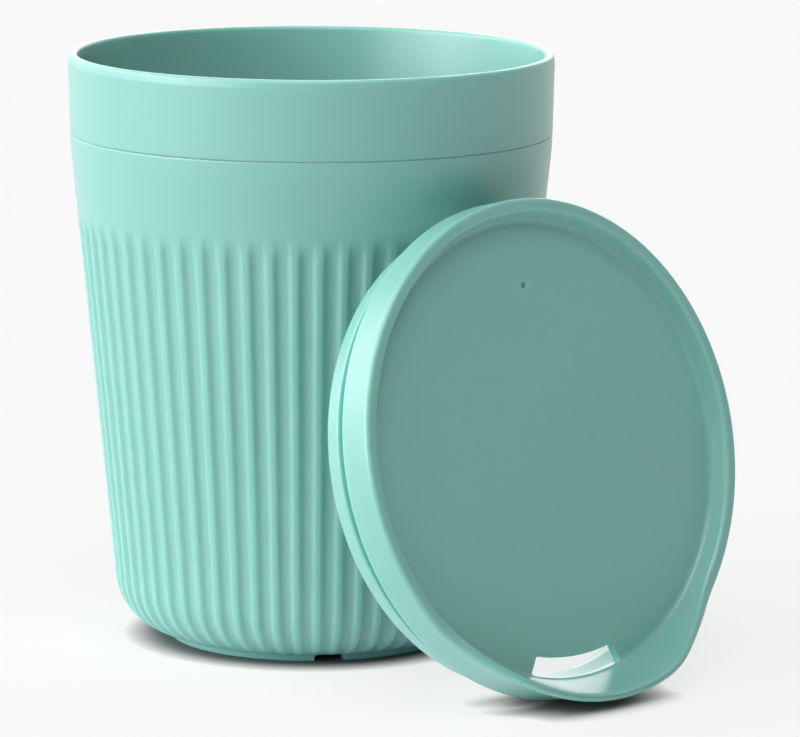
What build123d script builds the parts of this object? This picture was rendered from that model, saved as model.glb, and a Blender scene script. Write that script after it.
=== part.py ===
from build123d import *
import math
import os

# Insulated travel cup with a press-on sip lid, in millimetres, +Z up.
# The origin is on the cup's axis, on the plane it stands on. The lid leans on the cup's -Y side.

# ---- cup: outside ----
cup_height = 112.4
rim_radius = 46.2
rim_wall = 1.7
rim_chamfer = 0.5           # on both edges of the rim
rim_band = 15.1             # height of the inner cup's rim band, down to its seam with the sleeve
seam_inset = 0.3            # from the rim's outside
seam_chamfer = 0.3          # on both edges of the seam
plain_drop = 2.9            # below the seam, to where the sleeve's taper starts
plain_inset = 0.14          # of that place from the seam
sleeve_taper = 5.7          # degrees from the axis
corner_radius = 11.4        # of the rounded bottom
sleeve_wall = 1.8
sleeve_inside_chamfer = 5.0  # at its floor, inside the double wall
foot_height = 1.3
foot_inset = 9.27           # of the foot ring from the sleeve's taper
foot_width = 2.8
foot_edge = 0.4             # chamfer
drain_width = 5.7
drain_count = 2
drain_angle = 236.0         # degrees about the axis

# ---- cup: inside ----
liner_taper = 8.0           # degrees from the axis
liner_wall = 1.6
liner_corner = 9.0          # inside radius at the liner's floor
liner_under_chamfer = 5.25  # below that corner, inside the double wall
air_gap_below = 2.2         # between the two floors
spigot_height = 4.0         # of the liner's land inside the sleeve's mouth
spigot_gap = 0.3            # below the spigot's end
weld_clearance = 0.05

# ---- flutes ----
flute_count = 60
flute_phase = 2.4           # degrees
flute_start = 10.8          # below where the sleeve's taper starts
flute_run = 6.4             # from there down to their full depth
flute_depth_top = 0.74
flute_depth_low = 0.69
flute_floor = 0.8           # half width of a flute's floor
flute_draft = 45.0          # degrees that its sides lean out
flute_overrun = 3.0         # degrees that a cutter goes on past the wall
flute_stations = 5          # sections of the turn round the bottom corner

# ---- lid, in its own frame: its axis is Z, and its shoulder is at Z = 0 ----
lid_inset = 0.3             # of its band inside the cup's rim
lid_band = 7.0              # height of the band between the shoulder and the lip
lid_band_edge = 0.4         # chamfer
lip_outer_edge = 0.4        # chamfer
lip_inner_edge = 0.6        # chamfer
lid_wall = 3.6              # from the band's outside to the panel's edge
panel_edge_depth = 3.6      # below the lip
panel_centre_depth = 1.8
panel_thickness = 1.6
panel_chamfer = 0.9         # between the panel and the wall round it
panel_let_in = 0.9          # of the panel's edge in that wall
plug_depth = 7.3
plug_end_gap = 0.47         # between its end and the cup's inside when the lid is on
plug_end_wall = 1.1
plug_edge = 0.35            # chamfer
plug_root_gap = 1.7         # between its root and the cup's mouth
plug_waist = 1.8            # wall behind the sealing land
plug_waist_depth = 4.0
land_depth = 3.4            # of the sealing land's highest line below the shoulder
land_ramp = 0.3             # from there up to the plug's root
land_gap = 0.07             # between the land and the cup's inside when the lid is on
vent_radius = 0.62
vent_inset = 12.2           # from the panel's edge
slot_inset = 0.2            # from the panel's edge
slot_width = 3.8
slot_inner_half = 14.2      # degrees
slot_outer_half = 15.4      # degrees
slot_corner = 0.6

# ---- the lid's spout ----
spout_height = 6.6          # of the raised lip above the rest of the lip
spout_half_width = 33.0
spout_crown_half = 17.4
spout_crown_rise = 0.5
spout_flare = 1.5           # how far its lip leans out
spout_flare_start = 1.2     # below the lip
spout_lip_wall = 1.65
spout_side_round = 25.0
spout_foot_round = 10.0

# ---- how the lid leans on the cup ----
lean_angle = 14.0           # degrees from upright
lean_clearance = 0.3        # between the plug's edge and the cup
lean_sideways = -1.2
spout_turn = -1.2           # degrees that the spout points off straight down

# ---- worked out ----
tan_sleeve = math.tan(math.radians(sleeve_taper))
cos_sleeve = math.cos(math.radians(sleeve_taper))
sin_sleeve = math.sin(math.radians(sleeve_taper))
tan_liner = math.tan(math.radians(liner_taper))
cos_liner = math.cos(math.radians(liner_taper))
seam_height = cup_height - rim_band
seam_radius = rim_radius - seam_inset
turn_height = seam_height - plain_drop
turn_radius = seam_radius - plain_inset
foot_radius = turn_radius - (turn_height - foot_height) * tan_sleeve - foot_inset
flute_top = turn_height - flute_start
flute_full = flute_top - flute_run
mouth_radius = rim_radius - rim_wall
liner_floor = foot_height + sleeve_wall + air_gap_below + liner_wall
lid_radius = rim_radius - lid_inset
panel_edge_radius = lid_radius - lid_wall
plug_root_radius = mouth_radius - plug_root_gap
plug_end_radius = mouth_radius - plug_depth * tan_liner - plug_end_gap
land_radius = mouth_radius - land_depth * tan_liner - land_gap
slot_outer = panel_edge_radius - slot_inset
slot_inner = slot_outer - slot_width


def sleeve_radius(height):
    """Outside radius of the sleeve's taper at a height."""
    return turn_radius - (turn_height - height) * tan_sleeve


def liner_radius(height):
    """Inside radius of the liner at a height."""
    return mouth_radius - (cup_height - height) * tan_liner


def corner_centre():
    """Centre (r, z) of the arc that rounds the sleeve into its underside."""
    height = foot_height + corner_radius
    return sleeve_radius(height) - corner_radius / cos_sleeve, height


def turned(outline, rounds=(), chamfers=()):
    """Solid of revolution of an outline in (r, z), with corners of it rounded and chamfered."""
    face = make_face(outline)
    for r, z, radius in rounds:
        face = fillet(face.vertices().sort_by_distance((r, z))[0], radius)
    for r, z, length in chamfers:
        face = chamfer(face.vertices().sort_by_distance((r, z))[0], length)
    return revolve(Plane.XZ * face, Axis.Z)


# ---- cup ----
def inner_cup():
    """Liner and rim band in one piece, with a spigot that seats in the sleeve's mouth."""
    spigot_radius = seam_radius - sleeve_wall - weld_clearance
    spigot_end = seam_height - spigot_height
    under_floor = liner_floor - liner_wall
    wall = liner_wall / cos_liner
    inner_corner = (liner_radius(liner_floor), liner_floor)
    under_corner = (liner_radius(under_floor) + wall, under_floor)
    outline = Polyline(
        (0, liner_floor),
        inner_corner,
        (mouth_radius, cup_height),
        (rim_radius, cup_height),
        (seam_radius, seam_height),
        (spigot_radius, seam_height),
        (spigot_radius, spigot_end),
        (liner_radius(spigot_end) + wall, spigot_end),
        under_corner,
        (0, under_floor),
        (0, liner_floor),
    )
    chamfers = [
        (*under_corner, liner_under_chamfer),
        (mouth_radius, cup_height, rim_chamfer),
        (rim_radius, cup_height, rim_chamfer),
        (seam_radius, seam_height, seam_chamfer),
    ]
    return turned(outline, [(*inner_corner, liner_corner)], chamfers)


def sleeve_blank():
    """Outer shell with its rounded bottom, before the flutes are cut."""
    under = foot_height
    floor = foot_height + sleeve_wall
    wall = sleeve_wall / cos_sleeve
    outer_corner = (sleeve_radius(under), under)
    inner_corner = (sleeve_radius(floor) - wall, floor)
    land_end = seam_height - spigot_height - spigot_gap
    outline = Polyline(
        (0, floor),
        inner_corner,
        (sleeve_radius(land_end) - wall, land_end),
        (seam_radius - sleeve_wall, land_end),
        (seam_radius - sleeve_wall, seam_height),
        (seam_radius, seam_height),
        (turn_radius, turn_height),
        outer_corner,
        (0, under),
        (0, floor),
    )
    return turned(outline, [(*outer_corner, corner_radius)], [
        (*inner_corner, sleeve_inside_chamfer),
        (seam_radius, seam_height, seam_chamfer),
    ])


def foot_ring():
    """Ring the cup stands on, with drain notches so that no water is trapped under the cup."""
    inner = foot_radius - foot_width
    top = foot_height + sleeve_wall / 2
    outline = Polyline((inner, 0), (foot_radius, 0), (foot_radius, top), (inner, top), (inner, 0))
    ring = turned(outline, chamfers=[(foot_radius, 0, foot_edge), (inner, 0, foot_edge)])
    notch_face = Rectangle(drain_width, 2 * foot_height)
    notch_face = fillet(notch_face.vertices(), foot_height / 2)
    notch = extrude(Plane.XZ.offset(-foot_radius - 1) * notch_face, 2 * foot_width)
    notches = [Rot(0, 0, drain_angle - 90 + 360 * k / drain_count) * notch for k in range(drain_count)]
    return ring - notches


def flute_section():
    """Section of one flute's cutter: flat floor at 0 and leaning sides, open outwards (+Y)."""
    reach = 3 * flute_depth_top
    half = flute_floor + reach * math.tan(math.radians(flute_draft))
    corners = (-flute_floor, 0), (flute_floor, 0), (half, reach), (-half, reach), (-flute_floor, 0)
    return make_face(Polyline(*corners))


def across_wall(r, z, slope):
    """Plane across a flute whose floor passes (r, z) at a slope in degrees off straight down."""
    angle = math.radians(slope)
    return Plane(origin=(r, 0, z), x_dir=(0, 1, 0), z_dir=(-math.sin(angle), 0, -math.cos(angle)))


def turn_stations():
    """Planes along a flute's turn. Its arc is wider than the corner's, so it leaves the wall at the foot."""
    centre_r, centre_z = corner_centre()
    last = math.degrees(math.acos((foot_radius - centre_r) / corner_radius))
    widen = flute_depth_low / (1 - math.cos(math.radians(last - sleeve_taper)))
    radius = corner_radius - flute_depth_low + widen
    centre_r -= widen * cos_sleeve
    centre_z += widen * sin_sleeve
    sweep = last + flute_overrun - sleeve_taper
    stations = []
    for k in range(flute_stations):
        slope = sleeve_taper + sweep * k / (flute_stations - 1)
        angle = math.radians(slope)
        place = centre_r + radius * math.cos(angle), centre_z - radius * math.sin(angle)
        stations.append(across_wall(*place, slope))
    return stations


def flute_cutter():
    """One flute's cutter: it runs out at the top, follows the wall and turns round the bottom corner."""
    section = flute_section()
    full = across_wall(sleeve_radius(flute_full) - flute_depth_top / cos_sleeve, flute_full, sleeve_taper)
    out = across_wall(sleeve_radius(flute_top), flute_top, sleeve_taper)
    turn = turn_stations()
    stretches = [out, full], [full, turn[0]], turn
    return Part() + [loft([plane * section for plane in stretch]) for stretch in stretches]


def fluted(blank):
    """The sleeve's blank with its flutes cut all round."""
    cutter = flute_cutter()
    step = 360 / flute_count
    return blank - [Rot(0, 0, flute_phase + step * (k + 0.5)) * cutter for k in range(flute_count)]


# ---- lid, in its own frame, with its spout towards -Y ----
def lid_ring():
    """Band, plug and wall turned in one piece, with the wall still as high as the spout all round."""
    lip = lid_band
    top = lip + spout_height
    over = spout_crown_rise
    start = lip - spout_flare_start
    flare = ((top - start) ** 2 + spout_flare ** 2) / (2 * spout_flare)
    end = math.asin((top + over - start) / flare)
    flare_middle, flare_end = (
        (lid_radius + flare * (1 - math.cos(a)), start + flare * math.sin(a)) for a in (end / 2, end))
    foot = lip - panel_edge_depth
    lean = (lid_radius + spout_flare - spout_lip_wall - panel_edge_radius) / (top - foot)
    panel_middle = foot - panel_thickness / 2
    band = Polyline((lid_radius, 0), (lid_radius, start))
    spout = ThreePointArc((lid_radius, start), flare_middle, flare_end)
    rest = Polyline(
        flare_end,
        (panel_edge_radius + lean * (top + over - foot), top + over),
        (panel_edge_radius + lean * panel_chamfer, foot + panel_chamfer),
        (panel_edge_radius - panel_chamfer, foot),
        (panel_edge_radius - panel_chamfer, panel_middle),
        (panel_edge_radius, panel_middle),
        (plug_root_radius - plug_waist, -plug_waist_depth),
        (plug_end_radius - plug_end_wall, -plug_depth),
        (plug_end_radius, -plug_depth),
        (land_radius, -land_depth),
        (plug_root_radius, land_ramp - land_depth),
        (plug_root_radius, 0),
        (lid_radius, 0),
    )
    return turned(band + spout + rest, chamfers=[
        (lid_radius, 0, lid_band_edge),
        (plug_end_radius, -plug_depth, plug_edge),
        (plug_end_radius - plug_end_wall, -plug_depth, plug_edge),
    ])


def panel():
    """The lid's gently domed panel, its edge let into the ring."""
    sagitta = panel_edge_depth - panel_centre_depth
    radius = (panel_edge_radius ** 2 + sagitta ** 2) / (2 * sagitta)
    top = lid_band - panel_centre_depth
    shell = Sphere(radius) - Sphere(radius - panel_thickness)
    dome = Pos(0, 0, top - radius) * Rot(0, 90, 0) * shell
    return dome & Cylinder(panel_edge_radius + panel_let_in, 2 * lid_band)


def spout_cutter():
    """All that lies above the lip and the spout, as a side profile carried through the spout's half."""
    lip, top = lid_band, lid_band + spout_height
    over, far = lid_band + 2 * spout_height, 2 * lid_radius
    shoulder = top - spout_crown_rise
    profile = Curve() + [
        Polyline(
            (spout_crown_half, shoulder), (spout_half_width, lip), (far, lip), (far, over),
            (-far, over), (-far, lip), (-spout_half_width, lip), (-spout_crown_half, shoulder)),
        ThreePointArc((-spout_crown_half, shoulder), (0, top), (spout_crown_half, shoulder)),
    ]
    face = make_face(profile)
    for side in (-1, 1):
        for across, height, radius in (
            (spout_crown_half, shoulder, spout_side_round),
            (spout_half_width, lip, spout_foot_round),
        ):
            face = fillet(face.vertices().sort_by_distance((side * across, height))[0], radius)
    front = extrude(Plane.XZ * face, far)
    back = Pos(0, far / 2, (lip + over) / 2) * Box(2 * far, far, over - lip)
    return front + back


def sip_slot():
    """Curved slot at the foot of the spout's wall, cut square through the panel."""
    inner = CenterArc((0, 0), slot_inner, 270 - slot_inner_half, 2 * slot_inner_half)
    outer = CenterArc((0, 0), slot_outer, 270 - slot_outer_half, 2 * slot_outer_half)
    face = make_face(Curve() + [inner, outer, Line(inner @ 0, outer @ 0), Line(inner @ 1, outer @ 1)])
    return extrude(fillet(face.vertices(), slot_corner), lid_band)


def rim_edges(body):
    """Outer and inner edges of the lip and the spout, without the lines that cross them."""
    tops = body.faces().filter_by(
        lambda f: f.normal_at(f.center()).Z > 0.5 and f.bounding_box().min.Z > lid_band - 0.01)
    along = tops.edges().filter_by(lambda e: e.length > 3 * spout_lip_wall)
    outer = along.filter_by(lambda e: math.hypot((e @ 0).X, (e @ 0).Y) > lid_radius - 0.01)
    return outer, along.filter_by(lambda e: e not in outer)


def lid():
    """The whole lid in its own frame."""
    ring = lid_ring() - spout_cutter()
    ring = chamfer(rim_edges(ring)[1], lip_inner_edge)
    ring = chamfer(rim_edges(ring)[0], lip_outer_edge)
    vent = Pos(0, panel_edge_radius - vent_inset, lid_band / 2) * Cylinder(vent_radius, lid_band)
    return ring + panel() - sip_slot() - vent


def leaning_frame():
    """Frame of the lid that stands on the edge of its band and leans back against the sleeve."""
    tilt = math.radians(lean_angle)
    back_edge = plug_end_radius - plug_edge
    height = lid_radius * math.cos(tilt) - lid_band_edge * math.sin(tilt)
    touch = height + back_edge * math.cos(tilt) - plug_depth * math.sin(tilt)
    away = sleeve_radius(touch) + lean_clearance + back_edge * math.sin(tilt) + plug_depth * math.cos(tilt)
    shoulder = (lean_sideways, -away, height)
    return Plane(shoulder, x_dir=(1, 0, 0), z_dir=(0, -math.cos(tilt), math.sin(tilt)))


def main():
    os.makedirs("parts", exist_ok=True)
    export_step(inner_cup(), "parts/inner_cup.step")
    export_step(fluted(sleeve_blank()) + foot_ring(), "parts/outer_sleeve.step")
    export_step(leaning_frame() * Rot(0, 0, spout_turn) * lid(), "parts/lid.step")


if __name__ == "__main__":
    main()
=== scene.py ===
import math

import bpy
import numpy as np
from mathutils import Matrix, Vector


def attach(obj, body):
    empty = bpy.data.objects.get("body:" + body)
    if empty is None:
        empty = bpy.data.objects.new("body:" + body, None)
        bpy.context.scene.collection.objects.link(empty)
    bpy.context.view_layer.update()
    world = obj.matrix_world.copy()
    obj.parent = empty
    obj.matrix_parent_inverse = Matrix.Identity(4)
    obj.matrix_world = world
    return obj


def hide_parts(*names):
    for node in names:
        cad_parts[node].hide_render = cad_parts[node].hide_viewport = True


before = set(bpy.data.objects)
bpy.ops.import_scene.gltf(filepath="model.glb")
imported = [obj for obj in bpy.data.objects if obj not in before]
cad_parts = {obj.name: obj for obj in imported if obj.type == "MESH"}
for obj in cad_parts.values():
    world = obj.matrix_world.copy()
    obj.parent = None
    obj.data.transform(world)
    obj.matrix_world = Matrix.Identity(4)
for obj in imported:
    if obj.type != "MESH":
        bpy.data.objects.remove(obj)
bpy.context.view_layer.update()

# Sizes in millimetres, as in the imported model. Meshes are made in them and scaled to metres.
MM = 0.001

# ---- cup ----
CUP_HEIGHT, RIM_RADIUS, MOUTH_RADIUS = 112.4, 46.2, 44.5
SEAM_HEIGHT, SEAM_RADIUS = 97.3, 45.9
TURN_HEIGHT, TURN_RADIUS = 94.4, 45.76
SLEEVE_TAPER, LINER_TAPER = math.radians(5.7), math.radians(8.0)
SLEEVE_WALL, LINER_WALL = 1.8, 1.6
CORNER_RADIUS, FOOT_HEIGHT, FOOT_RADIUS, FOOT_WIDTH = 11.4, 1.3, 27.2, 2.8
LINER_FLOOR = 6.9
SPIGOT_RADIUS, SPIGOT_END, LAND_END = 44.05, 93.3, 93.0
DRAIN_HALF, DRAIN_ROUND, DRAIN_ANGLES = 2.85, 0.65, (236.0, 56.0)
CROWN_DROP, CROWN_INSET = 1.6, 0.22     # where the rim starts to lean in to its edge, and how far
RIM_ROUND, SEAM_ROUND = 0.7, 0.3

FLUTES, FLUTE_PHASE = 60, 2.4           # phase in degrees
FLUTE_TOP, FLUTE_FULL = 83.6, 77.2
FLUTE_DEPTH_TOP, FLUTE_DEPTH_LOW = 0.74, 0.69
FLUTE_FLOOR, FLUTE_WALL = 0.41, 0.68    # where its wall starts and would end, in halves of the pitch
FLUTE_ROUND, CREST_ROUND = 0.85, 0.60   # how softly the wall leaves the floor and meets the crest
FLUTE_COLUMNS = (0.28, 0.44, 0.54, 0.64, 0.74, 0.84, 0.93)          # in halves of the pitch
DRAIN_COLUMNS = (0.8, 0.88, 0.94, 0.975, 0.993, 1.003, 1.02)        # in halves of a notch
PLAIN_ROWS = (84.2, 90.5, 91.5)         # heights above the flutes

# ---- lid ----
LID_RADIUS, LID_BAND = 45.9, 7.0
PANEL_EDGE, PANEL_FOOT, PANEL_CENTRE, PANEL_WALL = 42.3, 3.4, 5.2, 1.6
PLUG_ROOT, PLUG_END, PLUG_DEPTH = 42.8, 43.0, 7.3
LAND_DEPTH, LAND_RADIUS = 3.4, 43.95
PLUG_INSIDE = ((42.3, None), (41.2, -2.5), (41.2, -4.8), (41.9, -7.3))
SPOUT_HEIGHT, SPOUT_HALF, CROWN_HALF, CROWN_RISE = 6.6, 33.0, 17.4, 0.5
SPOUT_FLARE, FLARE_START, SPOUT_LIP = 1.5, 5.8, 1.65
LIP_OUTER_ROUND, LIP_INNER_ROUND = 0.8, 0.9
SLOT_INNER, SLOT_OUTER, SLOT_CORNER = 38.3, 42.1, 0.6
SLOT_INNER_HALF, SLOT_OUTER_HALF = 14.2, 15.4   # degrees
VENT_RADIUS, VENT_DISTANCE = 0.62, 30.1
LID_COLUMNS, CUP_COLUMNS = 300, 360
LEAN, SPOUT_TURN = math.radians(14.0), math.radians(-1.2)
SHOULDER = (-1.2, -62.4287, 44.4398)    # where the middle of the lid's shoulder stands

# ---- looks, light and camera, in metres ----
MINT, MINT_LIGHT = (0.250, 0.545, 0.490, 1), (0.264, 0.565, 0.510, 1)
FLOOR_WHITE, FLOOR_SEEN, FLOOR_SEEN_SHARE = (0.93, 0.93, 0.93, 1), 0.955, 0.8
CONTACT_REACH, CONTACT_DARK = 0.005, 0.2    # how far the painted contact shade round a foot goes, and where it is black
WORLD_DIM, WORLD_FRONT, WORLD_SEEN = 0.06, 0.45, 0.94
WHITE_SIDE = Vector((0.26, 0.97, 0.0))      # toward the white walls
SUNS = (    # name, azimuth and elevation, strength, width
    ("back_left", (100, 9), 0.65, 50),
    ("side_grazing", (148, 8), 0.7, 30),
    ("front_grazing", (173, 10), 1.25, 40),
    ("side_low", (128, 30), 0.85, 40),
    ("front_left", (158, 35), 0.85, 40),
    ("overhead", (-132, 62), 1.3, 40),
    ("behind", (45, 22), 0.7, 40),
)
CAMERA_PLACE = Vector((-0.68735, -0.77417, 0.23126))
CAMERA_LOOK = Vector((0.66620, 0.72587, -0.17115)).normalized()
CAMERA_ROLL, CAMERA_LENS = 0.005, 246.5


# ---- mesh code ----
def rounded(corners, steps=6, support=0.25):
    """Path through (x, y, radius) corners with arcs at them, and a point near both ends of each run."""
    points = [np.array(c[:2], float) for c in corners]
    ends = []
    for i, (x, y, radius) in enumerate(corners):
        here = points[i]
        if radius == 0 or i in (0, len(corners) - 1):
            ends.append([here])
            continue
        back = points[i - 1] - here
        on = points[i + 1] - here
        back /= np.linalg.norm(back)
        on /= np.linalg.norm(on)
        half = math.acos(np.clip(back @ on, -1, 1)) / 2
        reach = radius / math.tan(half)
        middle = (back + on) / np.linalg.norm(back + on)
        centre = here + middle * radius / math.sin(half)
        first, last = here + back * reach - centre, here + on * reach - centre
        turn = math.pi - 2 * half
        arc = [
            centre + (math.sin((1 - t) * turn) * first + math.sin(t * turn) * last) / math.sin(turn)
            for t in np.linspace(0, 1, steps + 1)
        ]
        ends.append(arc)
    path = []
    for i, arc in enumerate(ends):
        path.extend(arc)
        if i + 1 < len(ends):
            run = ends[i + 1][0] - arc[-1]
            length = np.linalg.norm(run)
            near = min(support, length / 4)
            path.append(arc[-1] + run * near / length)
            path.append(ends[i + 1][0] - run * near / length)
    return np.array(path)


def new_piece(name, points, faces):
    """Object made of points in millimetres."""
    mesh = bpy.data.meshes.new(name)
    mesh.from_pydata((np.array(points) * MM).tolist(), [], faces)
    piece = bpy.data.objects.new(name, mesh)
    bpy.context.scene.collection.objects.link(piece)
    return piece


def skin(name, grid):
    """Closed mesh over a grid (rows, columns, 3) that goes round its columns; its end rows are poles."""
    rows, columns = grid.shape[:2]
    inner = grid[1:-1].reshape(-1, 3)
    points = np.vstack([inner, grid[0].mean(axis=0), grid[-1].mean(axis=0)])
    index = np.arange(inner.shape[0]).reshape(rows - 2, columns)
    after = np.roll(index, -1, axis=1)
    quads = np.stack([index[:-1], after[:-1], after[1:], index[1:]], axis=-1).reshape(-1, 4)
    low, high = len(inner), len(inner) + 1
    faces = quads.tolist()
    faces += [(low, int(b), int(a)) for a, b in zip(index[0], after[0])]
    faces += [(high, int(a), int(b)) for a, b in zip(index[-1], after[-1])]
    piece = new_piece(name, points, faces)
    piece.data.shade_smooth()
    piece.data.set_sharp_from_angle(angle=math.radians(50))
    return piece


def turned(name, path, columns):
    """Surface of revolution of a path that starts and ends on the axis."""
    angle = np.linspace(0, 2 * math.pi, columns, endpoint=False)
    radius, height = path[:, :1], path[:, 1:]
    flat = np.ones_like(angle)
    return skin(name, np.stack([radius * np.cos(angle), radius * np.sin(angle), height * flat], axis=-1))


# ---- cup: paths are corners of (radius, height, rounding) ----
def sleeve_radius(height):
    """Outside radius of the sleeve's taper."""
    return TURN_RADIUS - (TURN_HEIGHT - height) * math.tan(SLEEVE_TAPER)


def liner_radius(height):
    """Inside radius of the liner."""
    return MOUTH_RADIUS - (CUP_HEIGHT - height) * math.tan(LINER_TAPER)


def inner_cup():
    """Liner and rim band in one, with the spigot that seats in the sleeve."""
    under = LINER_FLOOR - LINER_WALL
    wall = LINER_WALL / math.cos(LINER_TAPER)
    path = rounded([
        (0, under, 0),
        (liner_radius(under) + wall, under, 8),
        (liner_radius(SPIGOT_END) + wall, SPIGOT_END, 0.2),
        (SPIGOT_RADIUS, SPIGOT_END, 0.3),
        (SPIGOT_RADIUS, SEAM_HEIGHT, 0.2),
        (SEAM_RADIUS, SEAM_HEIGHT, SEAM_ROUND),
        (RIM_RADIUS, CUP_HEIGHT - CROWN_DROP, 2.5),
        (RIM_RADIUS - CROWN_INSET, CUP_HEIGHT, RIM_ROUND),
        (MOUTH_RADIUS, CUP_HEIGHT, RIM_ROUND),
        (liner_radius(LINER_FLOOR), LINER_FLOOR, 9),
        (0, LINER_FLOOR, 0),
    ], steps=8)
    return turned("inner_cup_moulding", path, CUP_COLUMNS)


def flute_depth(height):
    """Depth of a flute at a height of the taper."""
    share = np.clip((FLUTE_TOP - height) / (FLUTE_TOP - FLUTE_FULL), 0, 1)
    down = np.clip((FLUTE_FULL - height) / FLUTE_FULL, 0, 1)
    return (FLUTE_DEPTH_TOP + (FLUTE_DEPTH_LOW - FLUTE_DEPTH_TOP) * down) * share * share * (3 - 2 * share)


def turn_depth(turn, last):
    """Depth of a flute at an angle of the turn round the bottom corner, where it leaves the wall."""
    widen = FLUTE_DEPTH_LOW / (1 - math.cos(last - SLEEVE_TAPER))
    radius = CORNER_RADIUS - FLUTE_DEPTH_LOW + widen
    off = turn - SLEEVE_TAPER
    return CORNER_RADIUS - math.sqrt(radius ** 2 - (widen * math.sin(off)) ** 2) + widen * math.cos(off)


def flute_cut(share, depth):
    """How far a flute cuts at distances from its middle, in halves of the pitch."""
    wall = soft_above((np.abs(share) - FLUTE_FLOOR) / (FLUTE_WALL - FLUTE_FLOOR), FLUTE_ROUND)
    return depth * soft_above(1 - wall, CREST_ROUND)


def soft_above(value, soft):
    """Value where it is over zero, zero below, with a smooth turn between."""
    return np.where(value > soft, value, np.where(value < -soft, 0, (value + soft) ** 2 / (4 * soft)))


def sleeve_rows():
    """Rows of the sleeve from the middle of its underside to the middle of its floor inside.

    Each is (r, z, direction the wall faces in r, in z, depth of the flutes or None)."""
    centre_z = FOOT_HEIGHT + CORNER_RADIUS
    centre_r = sleeve_radius(centre_z) - CORNER_RADIUS / math.cos(SLEEVE_TAPER)
    last = math.acos((FOOT_RADIUS - centre_r) / CORNER_RADIUS)

    def on_turn(angle):
        return centre_r + CORNER_RADIUS * math.cos(angle), centre_z - CORNER_RADIUS * math.sin(angle)

    inner = FOOT_RADIUS - FOOT_WIDTH
    meet = on_turn(last)
    foot = rounded([
        (0, FOOT_HEIGHT, 0),
        (inner, FOOT_HEIGHT, 0.2),
        (inner, 0, 0.4),
        (FOOT_RADIUS, 0, 0.4),
        (*meet, 0.2),
        (*on_turn(last - 0.05), 0),
    ], steps=3, support=0.15)[:-2]
    rows = [(r, z, 0, 0, None) for r, z in foot]
    for angle in np.linspace(last - 0.05, SLEEVE_TAPER, 19):
        rows.append((*on_turn(angle), math.cos(angle), -math.sin(angle), turn_depth(angle, last)))
    low = on_turn(SLEEVE_TAPER)[1]
    fluted = *np.linspace(low, FLUTE_FULL, 5)[1:], *np.linspace(FLUTE_FULL, FLUTE_TOP, 13)[1:]
    for z in (*fluted, *PLAIN_ROWS[:2]):
        rows.append((sleeve_radius(z), z, math.cos(SLEEVE_TAPER), -math.sin(SLEEVE_TAPER), flute_depth(z)))
    floor = FOOT_HEIGHT + SLEEVE_WALL
    wall = SLEEVE_WALL / math.cos(SLEEVE_TAPER)
    land = SEAM_RADIUS - SLEEVE_WALL
    top = rounded([
        (sleeve_radius(PLAIN_ROWS[2]), PLAIN_ROWS[2], 0),
        (TURN_RADIUS, TURN_HEIGHT, 12),
        (SEAM_RADIUS, SEAM_HEIGHT, SEAM_ROUND),
        (land, SEAM_HEIGHT, SEAM_ROUND),
        (land, LAND_END, 0),
        (sleeve_radius(LAND_END) - wall, LAND_END, 0),
        (sleeve_radius(floor) - wall, floor, 7),
        (0, floor, 0),
    ], steps=4)
    rows += [(r, z, 0, 0, None) for r, z in top]
    return rows


def drain_height(across):
    """Height of the foot's underside at a distance from the middle of a drain notch."""
    side = np.abs(across) - (DRAIN_HALF - DRAIN_ROUND)
    arch = DRAIN_ROUND - np.sqrt(np.maximum(DRAIN_ROUND ** 2 - np.clip(side, 0, DRAIN_ROUND) ** 2, 0))
    return np.where(side > DRAIN_ROUND, -1.0, FOOT_HEIGHT - arch)


def outer_sleeve():
    """The sleeve, with its columns laid along the flutes and at the edges of the drain notches."""
    side = np.array(FLUTE_COLUMNS)
    half = math.pi / FLUTES
    middles = math.radians(FLUTE_PHASE) + half * (2 * np.arange(FLUTES) + 1)
    drains = np.radians(DRAIN_ANGLES)
    beside = np.array(DRAIN_COLUMNS) * DRAIN_HALF / FOOT_RADIUS
    angle = np.concatenate([
        (middles[:, None] + half * np.concatenate([-side, [0], side, [1]])).ravel(),
        (drains[:, None] + np.concatenate([-beside, beside])).ravel(),
    ])
    angle = np.sort(np.mod(angle, 2 * math.pi))
    angle = angle[np.diff(angle, append=9) > 1e-5]
    share = np.mod((angle - middles[0]) / half + 1, 2) - 1
    points = []
    for r, z, out_r, out_z, depth in sleeve_rows():
        cut = flute_cut(share, depth) if depth else 0 * angle
        radius, height = r - cut * out_r, z - cut * out_z
        if z < FOOT_HEIGHT and r > FOOT_RADIUS - FOOT_WIDTH - 0.1:
            for drain in drains:
                off = np.angle(np.exp(1j * (angle - drain)))
                notch = np.where(np.abs(off) < 0.5, drain_height(FOOT_RADIUS * off), -1.0)
                height = np.maximum(height, notch)
        points.append(np.stack([radius * np.cos(angle), radius * np.sin(angle), height], axis=-1))
    return skin("outer_sleeve_moulding", np.array(points))


# ---- lid, in its own frame, with its spout towards -Y ----
def spout_top(across):
    """Height of the lip at a distance across the spout."""
    shoulder = LID_BAND + SPOUT_HEIGHT - CROWN_RISE
    bow = (CROWN_HALF ** 2 + CROWN_RISE ** 2) / (2 * CROWN_RISE)
    crown = [(x, LID_BAND + SPOUT_HEIGHT - x * x / (2 * bow), bow) for x in (6.0, 12.0)]
    side = rounded([
        (0, LID_BAND + SPOUT_HEIGHT, 0), *crown, (CROWN_HALF, shoulder, 25),
        (SPOUT_HALF, LID_BAND, 10), (60, LID_BAND, 0)], steps=12)
    return np.interp(abs(across), side[:, 0], side[:, 1])


def flare_radius(height):
    """Outside radius of the spout's wall at a height."""
    rise = LID_BAND + SPOUT_HEIGHT - FLARE_START
    bow = (rise ** 2 + SPOUT_FLARE ** 2) / (2 * SPOUT_FLARE)
    above = max(height - FLARE_START, 0)
    return LID_RADIUS + bow - math.sqrt(bow ** 2 - above ** 2)


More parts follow.
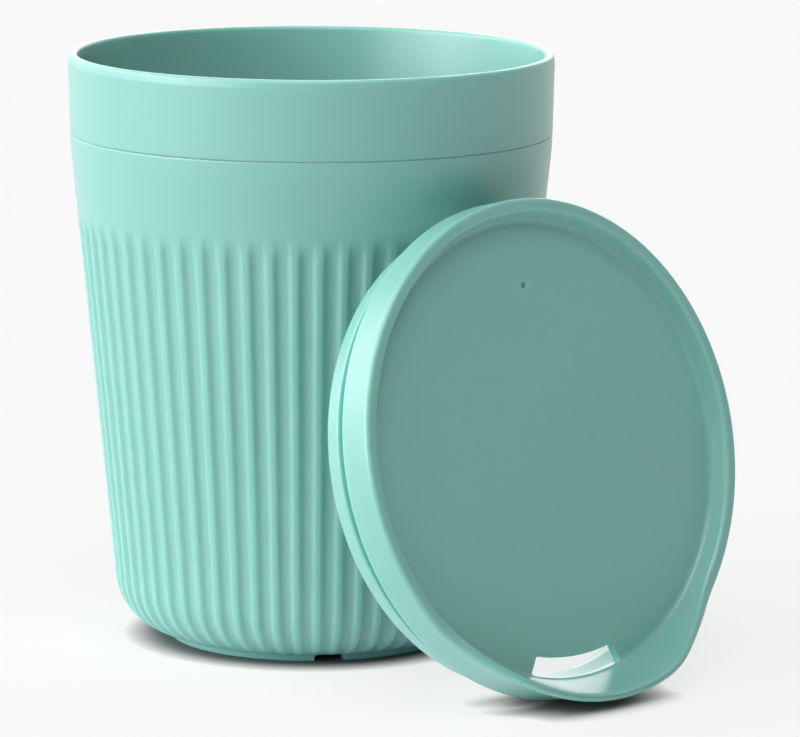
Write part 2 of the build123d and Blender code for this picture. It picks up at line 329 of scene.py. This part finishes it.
def dome(radius):
    """Height of the panel's top."""
    drop = PANEL_CENTRE - PANEL_FOOT
    return PANEL_CENTRE - drop * (radius / PANEL_EDGE) ** 2


def lid_section(angle):
    """Section of the lid at an angle from the spout, from its underside's middle to its top's."""
    lean = (LID_RADIUS + SPOUT_FLARE - SPOUT_LIP - PANEL_EDGE) / (LID_BAND + SPOUT_HEIGHT - PANEL_FOOT)

    def lip(radius_at):
        height = LID_BAND
        for _ in range(6):
            if math.cos(angle) > 0:
                height = float(spout_top(radius_at(height) * math.sin(angle)))
        return radius_at(height), height

    def inner(height):
        return PANEL_EDGE + lean * (height - PANEL_FOOT)

    outer_lip = lip(flare_radius)
    inner_lip = lip(inner)
    pocket = PLUG_INSIDE[0][0]
    under = [(r, dome(r) - PANEL_WALL, 0) for r in (0, 12, 24, 33, 39)]
    if outer_lip[1] > LID_BAND + 1.5:
        flare = [(flare_radius(z), z, 0) for z in np.linspace(FLARE_START, outer_lip[1] - 1.3, 7)]
    else:
        flare = [(LID_RADIUS, z, 0) for z in np.linspace(4.6, 5.6, 7)]
    return rounded([
        *under,
        (pocket, dome(pocket) - PANEL_WALL, 0.1),
        (*PLUG_INSIDE[1], 1.5),
        (*PLUG_INSIDE[2], 1.5),
        (*PLUG_INSIDE[3], 0.35),
        (PLUG_END, -PLUG_DEPTH, 0.45),
        (LAND_RADIUS, -LAND_DEPTH, 0.35),
        (PLUG_ROOT, -LAND_DEPTH + 0.3, 0.3),
        (PLUG_ROOT, 0, 0.2),
        (LID_RADIUS, 0, 0.4),
        *flare,
        (*outer_lip, LIP_OUTER_ROUND),
        (*inner_lip, LIP_INNER_ROUND),
        (PANEL_EDGE, PANEL_FOOT, 1.2),
        *[(r, dome(r), 0) for r in (38.0, 33.0, 24.0, 12.0, 0)],
    ], steps=5)


def slot_outline(grow):
    """Outline of the sip slot as (radius, angle), grown on all sides but the outer one."""
    inner = SLOT_INNER - grow
    outer_half = math.radians(SLOT_OUTER_HALF) + grow / SLOT_OUTER
    inner_half = math.radians(SLOT_INNER_HALF) + grow / SLOT_INNER
    ends = [(SLOT_OUTER, a, 0) for a in np.linspace(0, outer_half, 12)[:-1]]
    ends.append((SLOT_OUTER, outer_half, SLOT_CORNER))
    ends.append((inner, inner_half, SLOT_CORNER))
    ends += [(inner, a, 0) for a in np.linspace(inner_half, -inner_half, 23)[1:-1]]
    ends.append((inner, -inner_half, SLOT_CORNER))
    ends.append((SLOT_OUTER, -outer_half, SLOT_CORNER))
    ends += [(SLOT_OUTER, a, 0) for a in np.linspace(-outer_half, 0, 12)[1:]]
    path = rounded([(r * math.sin(a), r * math.cos(a), corner) for r, a, corner in ends])[:-1]
    return [(math.hypot(x, y), math.atan2(x, y)) for x, y in path]


def prism(name, rings):
    """Closed mesh through rings of points with flat ends."""
    count = len(rings[0])
    points = [p for ring in rings for p in ring]
    faces = []
    for level in range(len(rings) - 1):
        low, high = level * count, (level + 1) * count
        for i in range(count):
            j = (i + 1) % count
            faces.append((low + i, low + j, high + j, high + i))
    faces.append(tuple(reversed(range(count))))
    faces.append(tuple(range((len(rings) - 1) * count, len(rings) * count)))
    return new_piece(name, points, faces)


def slot_cutter():
    """The sip slot, its edges eased at the panel's top and underside."""
    levels = (0.45, -2.05), (0.2, -PANEL_WALL), (0, -PANEL_WALL + 0.2), (0, -0.2), (0.2, 0), (0.9, 0.7)
    return prism("slot_cutter", [
        [(r * math.sin(a), -r * math.cos(a), dome(r) + level) for r, a in slot_outline(grow)]
        for grow, level in levels
    ])


def vent_cutter():
    """The vent hole, its edge eased at the panel's top."""
    levels = (0, -4.0), (0, -0.12), (0.12, 0), (0.42, 0.3)
    middle, top = VENT_DISTANCE, dome(VENT_DISTANCE)
    angles = np.linspace(0, 2 * math.pi, 32, endpoint=False)
    return prism("vent_cutter", [
        [(r * math.cos(a), middle + r * math.sin(a), top + level) for a in angles]
        for r, level in ((VENT_RADIUS + grow, level) for grow, level in levels)
    ])


def cut(piece, cutter):
    """Takes the cutter's space out of the piece for good."""
    modifier = piece.modifiers.new("cut", "BOOLEAN")
    modifier.operation = "DIFFERENCE"
    modifier.solver = "EXACT"
    modifier.object = cutter
    shape = piece.evaluated_get(bpy.context.evaluated_depsgraph_get())
    mesh = bpy.data.meshes.new_from_object(shape)
    piece.modifiers.remove(modifier)
    piece.data = mesh
    bpy.data.objects.remove(cutter)


def lid():
    """The lid with its slot and vent, leaned against the cup."""
    angles = (np.arange(LID_COLUMNS) + 0.5) * 2 * math.pi / LID_COLUMNS
    sections = np.array([lid_section(math.remainder(a, 2 * math.pi)) for a in angles])
    radius, height = sections[:, :, 0].T, sections[:, :, 1].T
    grid = np.stack([radius * np.sin(angles), -radius * np.cos(angles), height], axis=-1)
    piece = skin("lid_moulding", grid)
    cut(piece, slot_cutter())
    cut(piece, vent_cutter())
    piece.data.set_sharp_from_angle(angle=math.radians(35))
    axes = Matrix((
        (1, 0, 0, SHOULDER[0] * MM),
        (0, math.sin(LEAN), -math.cos(LEAN), SHOULDER[1] * MM),
        (0, math.cos(LEAN), math.sin(LEAN), SHOULDER[2] * MM),
        (0, 0, 0, 1),
    ))
    piece.data.transform(axes @ Matrix.Rotation(SPOUT_TURN, 4, "Z"))
    return piece


# ---- materials ----
def new_node(tree, kind, values, **settings):
    """Adds a shader node, with its settings and the values of its sockets."""
    node = tree.nodes.new("ShaderNode" + kind)
    for name, value in settings.items():
        setattr(node, name, value)
    for name, value in values.items():
        node.inputs[name].default_value = value
    return node


def plastic(name):
    """Satin moulded plastic: a faint drift of colour, a fine grain, and a little light that goes in."""
    material = bpy.data.materials.new(name)
    material.use_nodes = True
    tree = material.node_tree
    link = tree.links.new
    shader = tree.nodes["Principled BSDF"]
    place = new_node(tree, "TexCoord", {})
    drift = new_node(tree, "TexNoise", {"Scale": 25, "Detail": 3})
    link(place.outputs["Object"], drift.inputs["Vector"])
    tint = new_node(tree, "Mix", {"A": MINT, "B": MINT_LIGHT}, data_type="RGBA")
    link(drift.outputs["Fac"], tint.inputs["Factor"])
    link(tint.outputs["Result"], shader.inputs["Base Color"])
    grain = new_node(tree, "TexNoise", {"Scale": 2200, "Detail": 2})
    link(place.outputs["Object"], grain.inputs["Vector"])
    gloss = new_node(tree, "MapRange", {"To Min": 0.28, "To Max": 0.36})
    link(grain.outputs["Fac"], gloss.inputs["Value"])
    link(gloss.outputs["Result"], shader.inputs["Roughness"])
    bump = new_node(tree, "Bump", {"Strength": 0.12, "Distance": 0.00004})
    link(grain.outputs["Fac"], bump.inputs["Height"])
    link(bump.outputs["Normal"], shader.inputs["Normal"])
    shader.inputs["IOR"].default_value = 1.5
    shader.inputs["Specular IOR Level"].default_value = 0.65
    shader.inputs["Subsurface Weight"].default_value = 0.8
    shader.inputs["Subsurface Radius"].default_value = (0.8, 1.2, 1.1)
    shader.inputs["Subsurface Scale"].default_value = 0.002
    return material


def seeing_rays(tree):
    """One for the rays by which the camera, a reflection or a clear piece sees, otherwise none."""
    path = new_node(tree, "LightPath", {})
    seen = path.outputs["Is Camera Ray"]
    for ray in ("Is Glossy Ray", "Is Transmission Ray"):
        either = new_node(tree, "Math", {}, operation="MAXIMUM")
        tree.links.new(seen, either.inputs[0])
        tree.links.new(path.outputs[ray], either.inputs[1])
        seen = either.outputs["Value"]
    return seen


def floor_material():
    """White floor: what is seen of it is a lighter glow with painted contact shade where things stand on
    it, and a share of its real shading kept.
    """
    material = bpy.data.materials.new("floor_white")
    material.use_nodes = True
    tree = material.node_tree
    link = tree.links.new
    shader = tree.nodes["Principled BSDF"]
    shader.inputs["Roughness"].default_value = 0.9
    shader.inputs["Specular IOR Level"].default_value = 0.1
    shader.inputs["Base Color"].default_value = FLOOR_WHITE
    # Painted contact shade: ambient occlusion darkens the floor's seen glow where the cup and the lid
    # stand on it.
    near = new_node(tree, "AmbientOcclusion", {"Distance": CONTACT_REACH}, samples=16)
    shade = new_node(tree, "MapRange", {"From Min": CONTACT_DARK, "To Min": 0, "To Max": FLOOR_SEEN})
    link(near.outputs["AO"], shade.inputs["Value"])
    glow_with_painted_shade = new_node(tree, "Emission", {})
    link(shade.outputs["Result"], glow_with_painted_shade.inputs["Strength"])
    seen = new_node(tree, "Math", {1: FLOOR_SEEN_SHARE}, operation="MULTIPLY")
    link(seeing_rays(tree), seen.inputs[0])
    mix = new_node(tree, "MixShader", {})
    link(seen.outputs["Value"], mix.inputs["Fac"])
    link(shader.outputs["BSDF"], mix.inputs[1])
    link(glow_with_painted_shade.outputs["Emission"], mix.inputs[2])
    link(mix.outputs["Shader"], tree.nodes["Material Output"].inputs["Surface"])
    return material


def add(piece, body, node, material):
    """Gives a piece its material and the body it rides on, and hides the CAD node it stands for."""
    piece.data.materials.clear()
    piece.data.materials.append(material)
    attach(piece, body)
    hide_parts(node)


mint = plastic("mint_plastic")
add(inner_cup(), "cup", "inner_cup", mint)
add(outer_sleeve(), "cup", "outer_sleeve", mint)
add(lid(), "lid", "lid", mint)


# ---- floor, light and camera ----
def studio():
    """Dim soft light all round, white to the camera, and in reflections white behind and at the left."""
    world = bpy.data.worlds.new("studio")
    world.use_nodes = True
    tree = world.node_tree
    link = tree.links.new
    dim = tree.nodes["Background"]
    dim.inputs["Color"].default_value = (1, 1, 1, 1)
    dim.inputs["Strength"].default_value = WORLD_DIM
    white = new_node(tree, "Background", {"Color": (1, 1, 1, 1)})
    way = new_node(tree, "TexCoord", {})
    across = new_node(tree, "VectorMath", {1: WHITE_SIDE}, operation="DOT_PRODUCT")
    link(way.outputs["Generated"], across.inputs[0])
    level = new_node(tree, "MapRange", {
        "From Min": -0.3, "From Max": 0.4, "To Min": WORLD_FRONT, "To Max": WORLD_SEEN})
    link(across.outputs["Value"], level.inputs["Value"])
    path = new_node(tree, "LightPath", {})
    backdrop = new_node(tree, "Math", {1: WORLD_SEEN}, operation="MULTIPLY")
    link(path.outputs["Is Camera Ray"], backdrop.inputs[0])
    lighter = new_node(tree, "Math", {}, operation="MAXIMUM")
    link(backdrop.outputs["Value"], lighter.inputs[0])
    link(level.outputs["Result"], lighter.inputs[1])
    link(lighter.outputs["Value"], white.inputs["Strength"])
    mix = new_node(tree, "MixShader", {})
    link(seeing_rays(tree), mix.inputs["Fac"])
    link(dim.outputs["Background"], mix.inputs[1])
    link(white.outputs["Background"], mix.inputs[2])
    link(mix.outputs["Shader"], tree.nodes["World Output"].inputs["Surface"])
    return world


def sun(name, toward, strength, width):
    """A soft sun that shines from a direction given as azimuth and elevation, all in degrees."""
    azimuth, elevation = (math.radians(a) for a in toward)
    lamp = bpy.data.lights.new(name, "SUN")
    lamp.energy = strength
    lamp.angle = math.radians(width)
    level = math.cos(elevation)
    source = Vector((level * math.cos(azimuth), level * math.sin(azimuth), math.sin(elevation)))
    piece = bpy.data.objects.new(name, lamp)
    piece.rotation_euler = source.to_track_quat("Z", "Y").to_euler()
    scene.collection.objects.link(piece)


scene = bpy.context.scene
bpy.ops.mesh.primitive_plane_add(size=12)
floor = bpy.context.object
floor.name = "floor"
floor.data.materials.append(floor_material())
scene.world = studio()
for lamp_line in SUNS:
    sun(*lamp_line)

lens = bpy.data.cameras.new("camera")
lens.sensor_fit = "HORIZONTAL"
lens.sensor_width = 36
lens.lens = CAMERA_LENS
lens.clip_end = 30
camera = bpy.data.objects.new("camera", lens)
scene.collection.objects.link(camera)
right = CAMERA_LOOK.cross(Vector((0, 0, 1))).normalized()
turn = Matrix((right, right.cross(CAMERA_LOOK), -CAMERA_LOOK)).transposed()
camera.matrix_world = (
    Matrix.Translation(CAMERA_PLACE) @ turn.to_4x4() @ Matrix.Rotation(CAMERA_ROLL, 4, "Z"))
scene.camera = camera
scene.view_settings.view_transform = "Standard"
